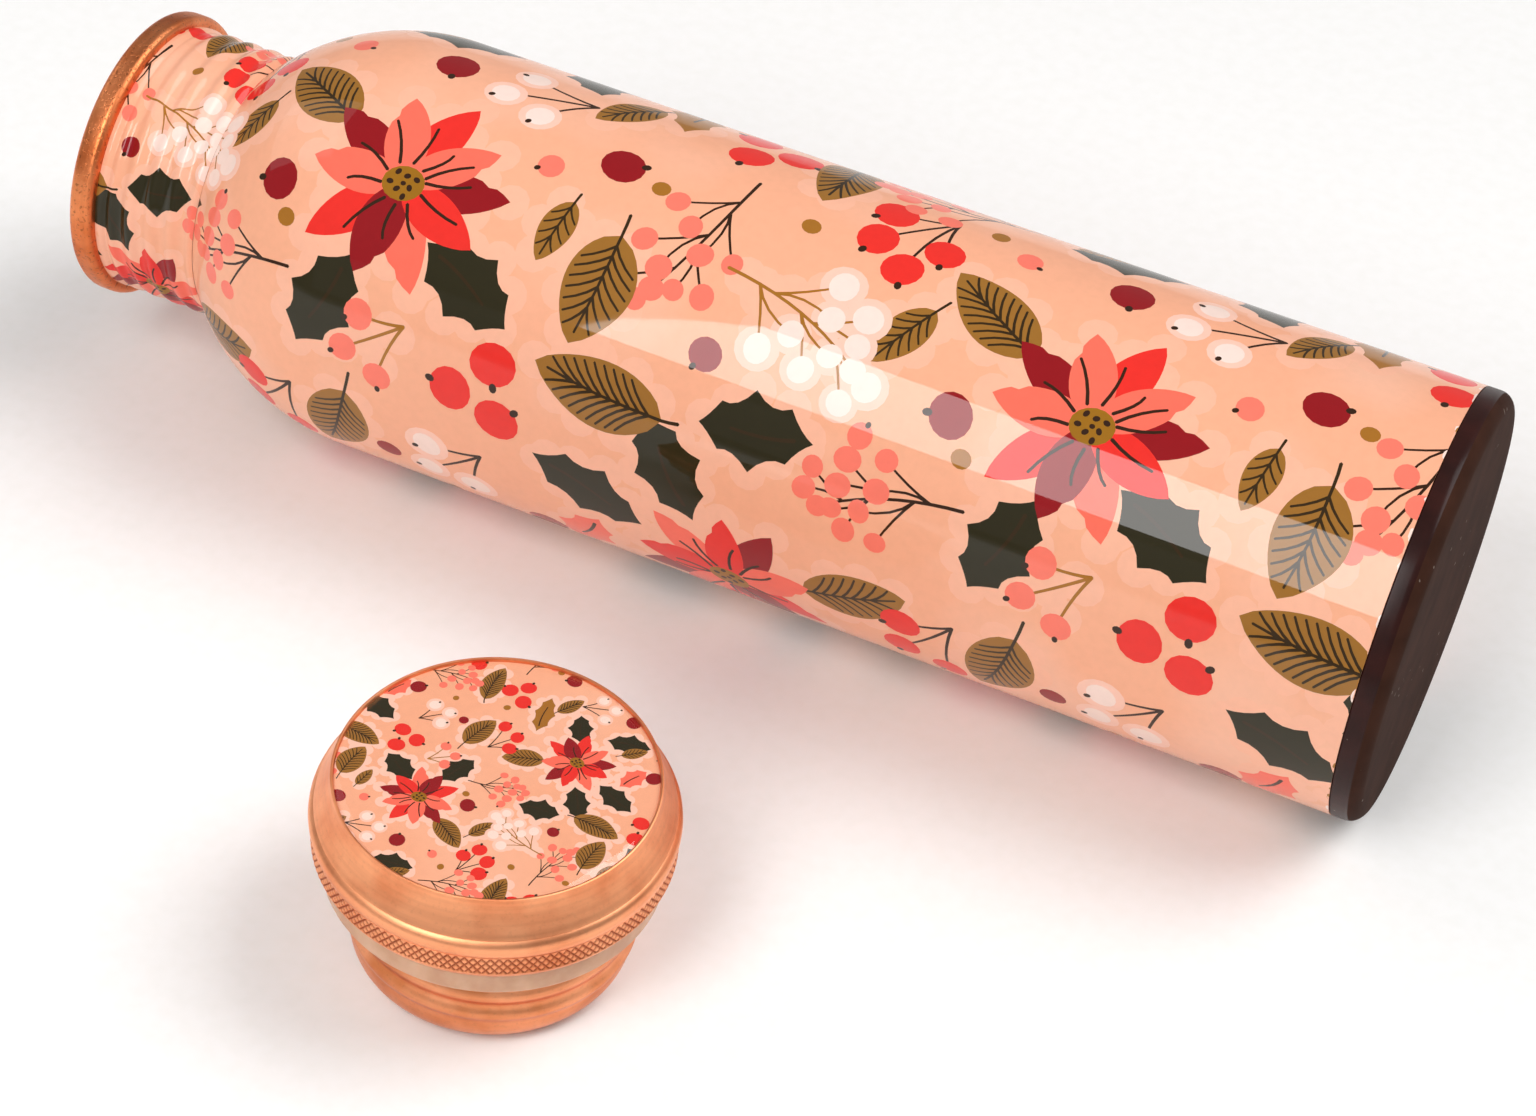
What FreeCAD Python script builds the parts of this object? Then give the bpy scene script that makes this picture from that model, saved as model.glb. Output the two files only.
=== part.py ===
"""Copper water bottle lying on its side, with its screw cap standing beside it.

Row frame: +X from the mouth to the foot, +Y away from the cap, +Z up. The origin is on the
supporting surface, under the middle of the whole set. Lengths are in millimetres.
"""
import FreeCAD, Part
import math
import os

V = FreeCAD.Vector

# Bottle, along its own axis from the foot's flat face (height 0) to the mouth
BOTTLE_LENGTH = 246.0
BODY_R = 37.5            # outside of the printed skin
SHOULDER_START = 191.0   # the straight cylinder ends here
NECK_START = 222.0       # the domed shoulder meets the neck here
WALL = 0.7               # copper sheet of the body
SKIN = 0.2               # print under clear enamel

# Foot pad and base
FOOT_T = 5.0
FOOT_EDGE_R = 3.5        # rounding of the pad's lower edge
BASE_FLANGE = 6.0        # how far the base plate's flange stands up inside the wall
BRAZE = 0.7              # leg of each brazed or soldered fillet

# Neck, with its rolled thread, and lip
THREAD_PITCH = 4.2
NECK_RIDGES = 4
NECK_ROOT_R = 23.5       # outside of the neck's copper in a thread valley
NECK_RIDGE = 0.7         # how far each rolled ridge stands out
NECK_WALL = 0.6
LIP_R = 26.2
LIP_HEIGHT = 4.6
LIP_ROUND = 1.2

# Cap, along its own axis from the plug's flat bottom (height 0)
CAP_HEIGHT = 38.6        # top of the clear dome
CAP_RIM_R = 25.5         # copper rim round the printed disc
CAP_RIM_TOP = 38.0
DISC_R = 24.9
DISC_SEAT = 37.1         # top of the copper under the printed disc
DISC_T = 0.3
DOME_EDGE = 0.5          # thickness of the clear dome at its edge
CAP_BEAD_R = 28.8        # widest part of the cap
BEAD_LOW = 28.4
BEAD_HIGH = 31.6
CAP_FLARE_R = 27.9       # foot of the flared wall, just above the bead
KNURL_R = 28.5
KNURL_LOW = 24.8
CAP_UNDERSIDE = 23.4
CAP_WALL = 0.8

# Threaded plug and seal
PLUG_ROOT_R = 22.6
PLUG_RIDGE = 0.7
PLUG_RIDGES = 3
PLUG_CORNER_R = 5.5      # rounding of the plug's closed bottom
PLUG_THREAD_START = 5.7
SEAL_T = 5.0
SEAL_R = 26.9
SEAL_CLEARANCE = 0.3     # between the seal and the plug that turns in it

# Where the two stand
CAP_ALONG = 5.0          # cap axis, along X from the middle of the bottle
CAP_ASIDE = 107.0        # cap axis, from the bottle's axis towards -Y

SET_WIDTH = BODY_R + CAP_ASIDE + CAP_BEAD_R
BOTTLE_Y = SET_WIDTH / 2 - BODY_R
CAP_Y = BOTTLE_Y - CAP_ASIDE


def arc(start, middle, end):
    """Arc through three (radius, height) points."""
    return Part.Arc(*(V(r, 0, h) for r, h in (start, middle, end))).toShape()


def corner(centre, radius, from_deg, to_deg):
    """End points and middle of a round corner, as an arc() argument list."""
    angles = (from_deg, (from_deg + to_deg) / 2, to_deg)
    return [(centre[0] + radius * math.cos(math.radians(a)),
             centre[1] + radius * math.sin(math.radians(a))) for a in angles]


def outline(*steps):
    """Closed wire from points and arcs; a list of three points is an arc."""
    edges, here, first = [], None, None
    for step in steps:
        start = step[0] if isinstance(step, list) else step
        if here is None:
            first = start
        elif math.dist(here, start) > 1e-6:
            edges.append(Part.LineSegment(V(here[0], 0, here[1]), V(start[0], 0, start[1])).toShape())
        if isinstance(step, list):
            edges.append(arc(*step))
        here = step[-1] if isinstance(step, list) else step
    if math.dist(here, first) > 1e-6:
        edges.append(Part.LineSegment(V(here[0], 0, here[1]), V(first[0], 0, first[1])).toShape())
    return Part.Wire(edges)


def revolve(*steps):
    """Solid of revolution about the local +Z axis."""
    return Part.Face(outline(*steps)).revolve(V(0, 0, 0), V(0, 0, 1), 360)


def ridges(root_r, height, start, count, upwards=True):
    """Rolled thread as seen in section: one arc per turn, each a pitch tall."""
    arcs = []
    for i in range(count):
        low = start + i * THREAD_PITCH
        turn = [(root_r, low), (root_r + height, low + THREAD_PITCH / 2), (root_r, low + THREAD_PITCH)]
        arcs.append(turn)
    if upwards:
        return arcs
    return [turn[::-1] for turn in arcs[::-1]]


def shoulder(offset, upwards=True):
    """Domed shoulder in section, offset outwards from the copper's outer face."""
    outer_r = BODY_R - SKIN
    rise = NECK_START - SHOULDER_START
    drop = outer_r - NECK_ROOT_R
    dome_r = (rise ** 2 + drop ** 2) / (2 * drop)
    centre = (outer_r - dome_r, SHOULDER_START)
    radius = dome_r + offset
    end_deg = math.degrees(math.asin(rise / radius))
    points = corner(centre, radius, 0, end_deg)
    return points if upwards else points[::-1]


def body_shell():
    inner = shoulder(-WALL, upwards=False)
    return revolve((inner[-1][0], FOOT_T), (BODY_R - SKIN, FOOT_T), shoulder(0), inner)


def body_print():
    inner = shoulder(0, upwards=False)
    return revolve((inner[-1][0], FOOT_T), (BODY_R, FOOT_T), shoulder(SKIN), inner)


def base_plate():
    outer_r = BODY_R - SKIN - WALL
    top = FOOT_T + BASE_FLANGE
    return revolve((0, FOOT_T), (outer_r, FOOT_T), (outer_r, top), (outer_r - WALL, top),
                   (outer_r - WALL, FOOT_T + WALL), (0, FOOT_T + WALL))


def base_braze():
    outer_r = BODY_R - SKIN - WALL
    top = FOOT_T + BASE_FLANGE
    return revolve((outer_r - BRAZE, top), (outer_r, top), (outer_r, top + BRAZE))


def foot_pad():
    edge = corner((BODY_R - FOOT_EDGE_R, FOOT_EDGE_R), FOOT_EDGE_R, -90, 0)
    return revolve((0, 0), edge, (BODY_R, FOOT_T), (0, FOOT_T))


def neck_side(root_r, upwards=True):
    """One face of the neck in section: thread ridges, then a straight collar at ridge radius."""
    turns = ridges(root_r, NECK_RIDGE, NECK_START, NECK_RIDGES, upwards)
    collar_r = root_r + NECK_RIDGE
    lip_low = BOTTLE_LENGTH - LIP_HEIGHT
    collar = [(collar_r, NECK_START + NECK_RIDGES * THREAD_PITCH + NECK_RIDGE), (collar_r, lip_low)]
    return turns + collar if upwards else collar[::-1] + turns


def neck_collar():
    return revolve(*neck_side(NECK_ROOT_R), *neck_side(NECK_ROOT_R - NECK_WALL, upwards=False))


def neck_print():
    return revolve(*neck_side(NECK_ROOT_R + SKIN), *neck_side(NECK_ROOT_R, upwards=False))


def neck_braze():
    inner_r = shoulder(-WALL)[-1][0]
    bore_r = NECK_ROOT_R - NECK_WALL
    return revolve((inner_r, NECK_START), (bore_r, NECK_START), (bore_r, NECK_START + bore_r - inner_r))


def lip_ring():
    bore_r = NECK_ROOT_R + NECK_RIDGE - NECK_WALL
    low = BOTTLE_LENGTH - LIP_HEIGHT
    outer = LIP_R - LIP_ROUND
    top = BOTTLE_LENGTH - LIP_ROUND
    return revolve((bore_r, low),
                   corner((outer, low + LIP_ROUND), LIP_ROUND, -90, 0),
                   corner((outer, top), LIP_ROUND, 0, 90),
                   corner((bore_r + LIP_ROUND, top), LIP_ROUND, 90, 180))


def cap_shell():
    """Closed copper top with a shallow seat, flared wall, bead and the band that is knurled."""
    flare_low = (CAP_FLARE_R, BEAD_HIGH)
    flare_top = (CAP_RIM_R, CAP_RIM_TOP - CAP_WALL / 2)
    flare_mid = ((flare_low[0] + flare_top[0]) / 2 - CAP_WALL / 3, (flare_low[1] + flare_top[1]) / 2)
    bead = [(KNURL_R, BEAD_LOW), (CAP_BEAD_R, (BEAD_LOW + BEAD_HIGH) / 2), flare_low]
    edge_r = KNURL_R - (KNURL_LOW - CAP_UNDERSIDE) / 2
    flange_r = edge_r - CAP_WALL
    rim = [flare_top, (CAP_RIM_R - CAP_WALL / 4, CAP_RIM_TOP), (DISC_R, CAP_RIM_TOP - CAP_WALL / 4)]
    plate_low = DISC_SEAT - CAP_WALL
    return revolve((flange_r, CAP_UNDERSIDE), (edge_r, CAP_UNDERSIDE), (KNURL_R, KNURL_LOW), bead,
                   [flare_low, flare_mid, flare_top], rim, (DISC_R, DISC_SEAT), (0, DISC_SEAT),
                   (0, plate_low), (DISC_R - CAP_WALL, plate_low),
                   (CAP_FLARE_R - CAP_WALL, BEAD_HIGH), (flange_r, BEAD_LOW))


def flange_radius():
    """Outer radius of the plug's flange, which fits inside the cap shell's lower edge."""
    return KNURL_R - (KNURL_LOW - CAP_UNDERSIDE) / 2 - CAP_WALL


def cap_print_disc():
    top = DISC_SEAT + DISC_T
    return revolve((0, DISC_SEAT), (DISC_R, DISC_SEAT), (DISC_R, top), (0, top))


def cap_resin_dome():
    low = DISC_SEAT + DISC_T
    edge = low + DOME_EDGE
    rise = CAP_HEIGHT - edge
    dome_r = (DISC_R ** 2 + rise ** 2) / (2 * rise)
    half_deg = math.degrees(math.asin(DISC_R / dome_r))
    return revolve((0, low), (DISC_R, low),
                   corner((0, CAP_HEIGHT - dome_r), dome_r, 90 - half_deg, 90))


def plug_cup():
    """Closed cup with rolled thread ridges and a flange that the cap shell is fitted round."""
    inner_r = PLUG_ROOT_R - CAP_WALL
    flange_r = flange_radius()
    flange_top = CAP_UNDERSIDE + CAP_WALL
    centre = (PLUG_ROOT_R - PLUG_CORNER_R, PLUG_CORNER_R)
    return revolve((0, 0), corner(centre, PLUG_CORNER_R, -90, 0),
                   *ridges(PLUG_ROOT_R, PLUG_RIDGE, PLUG_THREAD_START, PLUG_RIDGES),
                   (PLUG_ROOT_R, CAP_UNDERSIDE), (flange_r, CAP_UNDERSIDE), (flange_r, flange_top),
                   (inner_r, flange_top), corner(centre, PLUG_CORNER_R - CAP_WALL, 0, -90),
                   (0, CAP_WALL))


def plug_solder():
    flange_r = flange_radius()
    low = CAP_UNDERSIDE + CAP_WALL
    return revolve((flange_r - BRAZE, low), (flange_r, low), (flange_r, low + BRAZE))


def seal_ring():
    bore_r = PLUG_ROOT_R + SEAL_CLEARANCE
    low = CAP_UNDERSIDE - SEAL_T
    round_r = SEAL_T / 5
    outer = SEAL_R - round_r
    return revolve((bore_r, low),
                   corner((outer, low + round_r), round_r, -90, 0),
                   corner((outer, CAP_UNDERSIDE - round_r), round_r, 0, 90),
                   (bore_r, CAP_UNDERSIDE))


BOTTLE_PIECES = (body_shell, base_plate, base_braze, neck_collar, neck_braze, lip_ring,
                 body_print, neck_print, foot_pad)
CAP_PIECES = (cap_shell, cap_print_disc, cap_resin_dome, plug_cup, plug_solder, seal_ring)

# The bottle's axis runs from the foot at +X to the mouth at -X
LYING = FreeCAD.Placement(V(BOTTLE_LENGTH / 2, BOTTLE_Y, BODY_R), FreeCAD.Rotation(V(0, 1, 0), -90))
STANDING = FreeCAD.Placement(V(CAP_ALONG, CAP_Y, 0), FreeCAD.Rotation())

os.makedirs("parts", exist_ok=True)
for pieces, placement in ((BOTTLE_PIECES, LYING), (CAP_PIECES, STANDING)):
    for piece in pieces:
        shape = piece()
        shape.Placement = placement
        shape.exportStep(f"parts/{piece.__name__}.step")
        box = shape.BoundBox
        print(f"{piece.__name__:15s} valid {shape.isValid()} volume {shape.Volume:9.1f} mm3"
              f"  x {box.XMin:7.1f} {box.XMax:7.1f}  z {box.ZMin:6.2f} {box.ZMax:6.2f}")
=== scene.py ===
import math
import random

import bpy
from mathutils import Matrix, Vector
from mathutils.geometry import delaunay_2d_cdt


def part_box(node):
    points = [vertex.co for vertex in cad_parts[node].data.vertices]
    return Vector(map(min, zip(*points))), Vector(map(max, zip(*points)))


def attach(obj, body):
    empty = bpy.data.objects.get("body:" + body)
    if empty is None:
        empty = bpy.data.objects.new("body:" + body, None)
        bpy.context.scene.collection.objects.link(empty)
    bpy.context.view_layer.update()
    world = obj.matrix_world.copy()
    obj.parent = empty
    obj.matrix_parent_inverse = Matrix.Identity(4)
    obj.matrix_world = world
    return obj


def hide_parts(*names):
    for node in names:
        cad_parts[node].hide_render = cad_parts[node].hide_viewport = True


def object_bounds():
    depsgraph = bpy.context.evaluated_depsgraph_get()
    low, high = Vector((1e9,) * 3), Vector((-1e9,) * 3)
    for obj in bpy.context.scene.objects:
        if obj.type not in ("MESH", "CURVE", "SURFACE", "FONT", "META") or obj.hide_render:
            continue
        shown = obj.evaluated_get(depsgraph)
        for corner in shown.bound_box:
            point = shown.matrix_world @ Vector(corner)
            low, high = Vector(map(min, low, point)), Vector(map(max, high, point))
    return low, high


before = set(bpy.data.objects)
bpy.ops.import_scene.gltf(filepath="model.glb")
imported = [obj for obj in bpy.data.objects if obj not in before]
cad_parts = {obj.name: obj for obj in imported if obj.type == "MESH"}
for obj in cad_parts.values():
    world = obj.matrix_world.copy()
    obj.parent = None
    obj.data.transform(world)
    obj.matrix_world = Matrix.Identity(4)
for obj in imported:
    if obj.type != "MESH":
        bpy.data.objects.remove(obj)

cadLow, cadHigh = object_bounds()
mm = 0.001
capPieces = ("cap_shell", "cap_resin_dome", "cap_print_disc", "plug_cup", "plug_solder", "seal_ring")


def middle(box):
    return (box[0] + box[1]) / 2


def radiusOf(name):
    # half of the piece's extent across, in mm: x for the upright cap's pieces, z for the bottle's
    low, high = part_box(name)
    across = high.x - low.x if name in capPieces else high.z - low.z
    return across / 2 / mm


bottleAxis = middle(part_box("body_print"))
capAxis = middle(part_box("cap_shell"))
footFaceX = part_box("foot_pad")[1].x
bodyR = radiusOf("body_print")
bodyTurn = 2 * math.pi * bodyR


def heights(name):
    # a piece's two ends in mm: above the floor for the cap's, from the foot's flat face for the bottle's
    low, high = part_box(name)
    if name in capPieces:
        return low.z / mm, high.z / mm
    return (footFaceX - high.x) / mm, (footFaceX - low.x) / mm


footTop = heights("foot_pad")[1]
neckStart, lipStart = heights("neck_print")
lipTop = heights("lip_ring")[1]
capUnderside, capRimTop = heights("cap_shell")


def lying(r, h, angle):
    # a point on the bottle: angle 0 is on top and grows towards the cap
    return Vector((footFaceX - h * mm,
                   bottleAxis.y - r * mm * math.sin(angle),
                   bottleAxis.z + r * mm * math.cos(angle)))


def standing(r, h, angle):
    # a point on the upright cap, with its height above the floor
    return Vector((capAxis.x + r * mm * math.cos(angle), capAxis.y + r * mm * math.sin(angle), h * mm))


def smoothStep(low, high, value):
    t = min(1, max(0, (value - low) / (high - low)))
    return t * t * (3 - 2 * t)


def spaced(low, high, step):
    # even steps of about this size, both ends included
    count = max(1, round((high - low) / step))
    return [low + (high - low) * i / count for i in range(count + 1)]


def linear(hexCode):
    # sRGB hex to the linear colour that shaders work in
    parts = [int(hexCode[i:i + 2], 16) / 255 for i in (1, 3, 5)]
    return tuple(c / 12.92 if c <= 0.04045 else ((c + 0.055) / 1.055) ** 2.4 for c in parts) + (1,)


def addNode(tree, kind, values=None, links=None, stops=(), **settings):
    # one shader node: socket values, incoming links, and the stops of a colour ramp
    made = tree.nodes.new("ShaderNode" + kind)
    for key, value in settings.items():
        setattr(made, key, value)
    for socket, value in (values or {}).items():
        made.inputs[socket].default_value = value
    for socket, source in (links or {}).items():
        tree.links.new(source, made.inputs[socket])
    for i, (at, colour) in enumerate(stops):
        element = made.color_ramp.elements[i] if i < 2 else made.color_ramp.elements.new(at)
        element.position, element.color = at, colour
    return made


def newMaterial(name):
    material = bpy.data.materials.new(name)
    material.use_nodes = True
    tree = material.node_tree
    return material, tree, tree.nodes["Principled BSDF"], addNode(tree, "TexCoord").outputs["Object"]


def grey(value):
    return (value, value, value, 1)


# the print's inks
palette = {
    "ground": "#F7B08D",
    "halo": "#FAB99B",
    "glow": "#FDC9B4",
    "coral": "#FB705B",
    "paleCoral": "#FB7C68",
    "red": "#EC3028",
    "burgundy": "#93131A",
    "leaf": "#9C6A2A",
    "vein": "#362610",
    "holly": "#2C2712",
    "ochre": "#A66C24",
    "twig": "#351F10",
    "whiteBerry": "#FBDFD3",
    "seedHead": "#9C6A18",
}
enamel = {
    "mottleMm": 1.6,
    "mottleShade": 0.965,
    "washMm": 30,
    "cloud": "#FDE3D3",
    "cloudShare": 0.22,
    "waveMm": 9,
    "waveDepthMm": 0.012,
    "coat": 0.6,
}


def enamelledInk(name, hexCode, cloudy):
    # ink transfer-printed on copper under clear stoved enamel: flat colour with a faint mottle,
    # and a wet-looking coat on top that mirrors the lights sharply
    material, tree, surface, place = newMaterial(name)
    ink = linear(hexCode)
    mottle = addNode(tree, "TexNoise", {"Scale": 1 / (enamel["mottleMm"] * mm), "Detail": 3},
                     {"Vector": place})
    deeper = tuple(c * enamel["mottleShade"] for c in ink[:3]) + (1,)
    colour = addNode(tree, "ValToRGB", links={"Fac": mottle.outputs["Fac"]},
                     stops=((0.3, deeper), (0.62, ink))).outputs["Color"]
    if cloudy:   # broad paler patches in the ground
        wash = addNode(tree, "TexNoise", {"Scale": 1 / (enamel["washMm"] * mm), "Detail": 1.5},
                       {"Vector": place})
        patch = addNode(tree, "ValToRGB", links={"Fac": wash.outputs["Fac"]},
                        stops=((0.5, grey(0)), (0.75, grey(enamel["cloudShare"]))))
        colour = addNode(tree, "Mix", {7: linear(enamel["cloud"])}, {0: patch.outputs["Color"], 6: colour},
                         data_type="RGBA").outputs[2]
    tree.links.new(colour, surface.inputs["Base Color"])
    surface.inputs["Roughness"].default_value = 0.45
    surface.inputs["Specular IOR Level"].default_value = 0.03
    surface.inputs["Coat Weight"].default_value = enamel["coat"]
    surface.inputs["Coat Roughness"].default_value = 0.03
    surface.inputs["Coat IOR"].default_value = 1.5
    wave = addNode(tree, "TexNoise", {"Scale": 1 / (enamel["waveMm"] * mm), "Detail": 1}, {"Vector": place})
    ripple = addNode(tree, "Bump", {"Strength": 0.5, "Distance": enamel["waveDepthMm"] * mm},
                     {"Height": wave.outputs["Fac"]})
    tree.links.new(ripple.outputs["Normal"], surface.inputs["Coat Normal"])
    return material


copper = {
    "scratchMm": 0.12,
    "scratchDepthMm": 0.02,
    "ringMm": 0.7,   # coarser than real turning marks, so that they show
    "ringTint": (0.74, 0.66, 0.62, 1),
    "ringShare": 0.35,
    "acrossAxis": 0.03,   # shrinks the coordinates across the axis, which draws the noise out into rings
    "patchMm": 9,
    "pitMm": 0.6,
    "pitDepthMm": 0.05,
    "pitShade": 0.45,
    # painted shade for the bottoms of the knurl's grooves
    "grooveShadeRed": "#A2492C",
    "smear": 0.4,
}


def spunCopper(name, bright, tarnished, axis, roughness, pitting):
    # sheet copper spun and finished on a lathe: fine rings round the axis, a satin sheen that
    # smears along them, patchy warm tarnish, small pits, and painted shade, dull red, in the bottoms of
    # grooves
    material, tree, surface, place = newMaterial(name)
    grain = tuple(1.0 if letter == axis else copper["acrossAxis"] for letter in "XYZ")
    rings = addNode(tree, "Mapping", {"Scale": grain}, {"Vector": place}).outputs["Vector"]
    fine = addNode(tree, "TexNoise", {"Scale": 1 / (copper["scratchMm"] * mm), "Detail": 2},
                   {"Vector": rings})
    coarse = addNode(tree, "TexNoise", {"Scale": 1 / (copper["ringMm"] * mm), "Detail": 2},
                     {"Vector": rings})
    patches = addNode(tree, "TexNoise", {"Scale": 1 / (copper["patchMm"] * mm), "Detail": 4},
                      {"Vector": place})
    tarnish = addNode(tree, "ValToRGB", links={"Fac": patches.outputs["Fac"]},
                      stops=((0.35, linear(tarnished)), (0.6, linear(bright))))
    lines = addNode(tree, "ValToRGB", links={"Fac": coarse.outputs["Fac"]},
                    stops=((0.3, copper["ringTint"]), (0.62, grey(1))))
    colour = addNode(tree, "Mix", {0: copper["ringShare"]},
                     {6: tarnish.outputs["Color"], 7: lines.outputs["Color"]},
                     data_type="RGBA", blend_type="MULTIPLY")
    # painted shade: the deeper a point lies in a groove, the more its copper is darkened towards dull red
    groove = addNode(tree, "Attribute", attribute_name="groove")
    colour = addNode(tree, "Mix", {7: linear(copper["grooveShadeRed"])},
                     {0: groove.outputs["Fac"], 6: colour.outputs[2]}, data_type="RGBA")
    specks = addNode(tree, "TexNoise", {"Scale": 1 / (copper["pitMm"] * mm), "Detail": 5},
                     {"Vector": place})
    pits = addNode(tree, "ValToRGB", links={"Fac": specks.outputs["Fac"]},
                   stops=((0.34, grey(0)), (0.44, grey(1))))
    colour = addNode(tree, "Mix", {0: pitting * copper["pitShade"]},
                     {6: colour.outputs[2], 7: pits.outputs["Color"]},
                     data_type="RGBA", blend_type="MULTIPLY")
    tree.links.new(colour.outputs[2], surface.inputs["Base Color"])
    sheen = addNode(tree, "MapRange", {"To Min": roughness - 0.06, "To Max": roughness + 0.1},
                    {"Value": coarse.outputs["Fac"]})
    tree.links.new(sheen.outputs["Result"], surface.inputs["Roughness"])
    surface.inputs["Metallic"].default_value = 1.0
    surface.inputs["Anisotropic"].default_value = copper["smear"]
    around = addNode(tree, "Tangent", direction_type="RADIAL", axis=axis)
    tree.links.new(around.outputs["Tangent"], surface.inputs["Tangent"])
    scratches = addNode(tree, "Bump", {"Strength": 0.25, "Distance": copper["scratchDepthMm"] * mm},
                        {"Height": fine.outputs["Fac"]})
    dents = addNode(tree, "Bump", {"Strength": pitting, "Distance": copper["pitDepthMm"] * mm},
                    {"Height": pits.outputs["Color"], "Normal": scratches.outputs["Normal"]})
    tree.links.new(dents.outputs["Normal"], surface.inputs["Normal"])
    return material


rubber = {"scuffMm": 7, "dustMm": 1.3, "dust": "#B9A89C", "grainMm": 0.35, "grainDepthMm": 0.05}


def mouldedRubber(name, hexCode, paler, roughness, gloss):
    # dark moulded rubber: a fine dry grain with cloudy scuffs and a few pale specks of dust
    material, tree, surface, place = newMaterial(name)
    scuffs = addNode(tree, "TexNoise", {"Scale": 1 / (rubber["scuffMm"] * mm), "Detail": 6},
                     {"Vector": place})
    body = addNode(tree, "ValToRGB", links={"Fac": scuffs.outputs["Fac"]},
                   stops=((0.35, linear(hexCode)), (0.7, linear(paler))))
    specks = addNode(tree, "TexNoise", {"Scale": 1 / (rubber["dustMm"] * mm), "Detail": 0},
                     {"Vector": place})
    dust = addNode(tree, "ValToRGB", links={"Fac": specks.outputs["Fac"]},
                   stops=((0.84, grey(0)), (0.87, grey(0.4))))
    colour = addNode(tree, "Mix", {7: linear(rubber["dust"])},
                     {0: dust.outputs["Color"], 6: body.outputs["Color"]}, data_type="RGBA")
    tree.links.new(colour.outputs[2], surface.inputs["Base Color"])
    surface.inputs["Roughness"].default_value = roughness
    surface.inputs["Coat Weight"].default_value = gloss
    surface.inputs["Specular IOR Level"].default_value = 0.08
    surface.inputs["Coat Roughness"].default_value = 0.2
    fine = addNode(tree, "TexNoise", {"Scale": 1 / (rubber["grainMm"] * mm), "Detail": 3},
                   {"Vector": place})
    grain = addNode(tree, "Bump", {"Strength": 0.3, "Distance": rubber["grainDepthMm"] * mm},
                    {"Height": fine.outputs["Fac"]})
    tree.links.new(grain.outputs["Normal"], surface.inputs["Normal"])
    return material


silicone = {"hazeMm": 4, "glowMm": 1.5, "grainMm": 0.6, "grainDepthMm": 0.03}


def castSilicone(name, hexCode, paler):
    # cast silicone washer: light sinks in and glows softly, under a faint surface haze
    material, tree, surface, place = newMaterial(name)
    haze = addNode(tree, "TexNoise", {"Scale": 1 / (silicone["hazeMm"] * mm), "Detail": 3},
                   {"Vector": place})
    colour = addNode(tree, "ValToRGB", links={"Fac": haze.outputs["Fac"]},
                     stops=((0.35, linear(hexCode)), (0.65, linear(paler))))
    tree.links.new(colour.outputs["Color"], surface.inputs["Base Color"])
    surface.inputs["Roughness"].default_value = 0.42
    surface.inputs["IOR"].default_value = 1.41
    surface.inputs["Subsurface Weight"].default_value = 0.6
    surface.inputs["Subsurface Radius"].default_value = (1.0, 0.6, 0.4)
    surface.inputs["Subsurface Scale"].default_value = silicone["glowMm"] * mm
    fine = addNode(tree, "TexNoise", {"Scale": 1 / (silicone["grainMm"] * mm), "Detail": 2},
                   {"Vector": place})
    grain = addNode(tree, "Bump", {"Strength": 0.15, "Distance": silicone["grainDepthMm"] * mm},
                    {"Height": fine.outputs["Fac"]})
    tree.links.new(grain.outputs["Normal"], surface.inputs["Normal"])
    return material


resin = {"waveMm": 6, "waveDepthMm": 0.012, "facingMirror": 0.04, "grazingMirror": 0.9}


def pouredResin(name, glossy):
    # clear doming resin: the print shows through it, and its free surface mirrors the lights the
    # more the flatter it is seen; where it is bonded to the print there is nothing to mirror
    material, tree, surface, place = newMaterial(name)
    tree.nodes.remove(surface)
    shader = addNode(tree, "BsdfTransparent", {"Color": (0.99, 0.98, 0.97, 1)}).outputs["BSDF"]
    if glossy:
        wave = addNode(tree, "TexNoise", {"Scale": 1 / (resin["waveMm"] * mm), "Detail": 1},
                       {"Vector": place})
        ripple = addNode(tree, "Bump", {"Strength": 0.4, "Distance": resin["waveDepthMm"] * mm},
                         {"Height": wave.outputs["Fac"]})
        mirror = addNode(tree, "BsdfGlossy", {"Roughness": 0.03}, {"Normal": ripple.outputs["Normal"]})
        facing = addNode(tree, "LayerWeight", {"Blend": 0.5}, {"Normal": ripple.outputs["Normal"]})
        grazing = addNode(tree, "Math", {1: 5.0}, {0: facing.outputs["Facing"]}, operation="POWER")
        share = addNode(tree, "MapRange", {"To Min": resin["facingMirror"], "To Max": resin["grazingMirror"]},
                        {"Value": grazing.outputs["Value"]})
        shader = addNode(tree, "MixShader", links={0: share.outputs["Result"], 1: shader,
                                                   2: mirror.outputs["BSDF"]}).outputs["Shader"]
    output = next(n for n in tree.nodes if n.type == "OUTPUT_MATERIAL")
    tree.links.new(shader, output.inputs["Surface"])
    return material


inks = {ink: enamelledInk("printed_" + ink, code, ink == "ground") for ink, code in palette.items()}
capCopper = spunCopper("spun_copper_cap", "#FBAC7D", "#EA9162", "Z", 0.42, 0.12)
plugCopper = spunCopper("rolled_copper_plug", "#F0A175", "#D78150", "Z", 0.36, 0.2)
lipCopper = spunCopper("rolled_copper_lip", "#F29560", "#D87542", "X", 0.38, 0.8)
insideCopper = spunCopper("bare_copper_inside", "#DE9068", "#A95C3C", "X", 0.4, 0.4)
# the braze was wiped round while it was soft, so it has rings and pits like the copper's
brazeMetal = spunCopper("brazing_alloy", "#DDAB6C", "#B07F45", "X", 0.38, 0.6)
footFaceRubber = mouldedRubber("foot_rubber_face", "#331D14", "#40261C", 0.85, 0.0)
footSideRubber = mouldedRubber("foot_rubber_side", "#240B08", "#35140F", 0.5, 0.22)
sealSilicone = castSilicone("seal_silicone", "#C9997A", "#D6AB8C")
resinTop = pouredResin("poured_resin_top", True)
resinBond = pouredResin("poured_resin_bond", False)
print("finishes made:", len(bpy.data.materials))


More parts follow.
